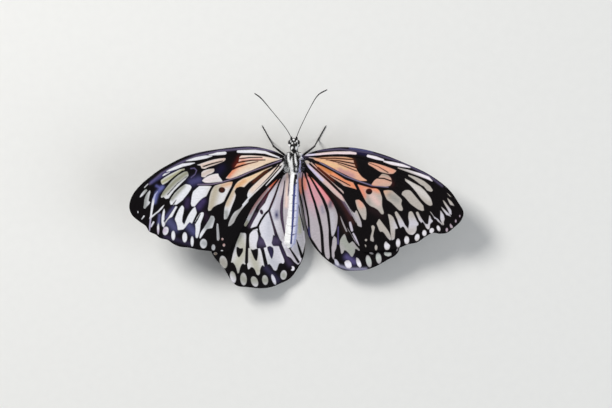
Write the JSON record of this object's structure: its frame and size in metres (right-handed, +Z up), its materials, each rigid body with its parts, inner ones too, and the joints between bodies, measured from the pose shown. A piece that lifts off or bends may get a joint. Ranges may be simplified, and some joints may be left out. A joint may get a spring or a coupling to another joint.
{
  "type": "paper kite butterfly",
  "caption": "Life-size still model of a large pale butterfly with black-veined wings spread, standing on its walking legs.",
  "frame": {"origin": "on the floor, below the middle of the model's bounds", "axes": "+Y towards the head, +Z up from the floor, +X to the butterfly's right side, which is the picture's right"},
  "size_m": [0.1284, 0.076, 0.025],
  "materials": {
    "black_cuticle": "satin black chitin with fine hairs",
    "pale_cuticle": "soft pale scaled cuticle",
    "eye": "smooth dark compound eye",
    "wing": "scaled membrane, pale panels between black veins"
  },
  "bodies": {
    "root": {"head": "black_cuticle", "eye_left": "eye", "eye_right": "eye", "antenna_left": "black_cuticle", "antenna_right": "black_cuticle", "palp_left": "black_cuticle", "palp_right": "black_cuticle", "proboscis": "black_cuticle", "thorax": "black_cuticle", "abdomen": "pale_cuticle", "forewing_left": "wing", "forewing_right": "wing", "hindwing_left": "wing", "hindwing_right": "wing", "foreleg_left": "black_cuticle", "foreleg_right": "black_cuticle", "middle_femur_left": "black_cuticle", "middle_femur_right": "black_cuticle", "middle_tibia_left": "black_cuticle", "middle_tibia_right": "black_cuticle", "middle_tarsus_left": "black_cuticle", "middle_tarsus_right": "black_cuticle", "hind_femur_left": "black_cuticle", "hind_femur_right": "black_cuticle", "hind_tibia_left": "black_cuticle", "hind_tibia_right": "black_cuticle", "hind_tarsus_left": "black_cuticle", "hind_tarsus_right": "black_cuticle"}
  },
  "joints": []
}
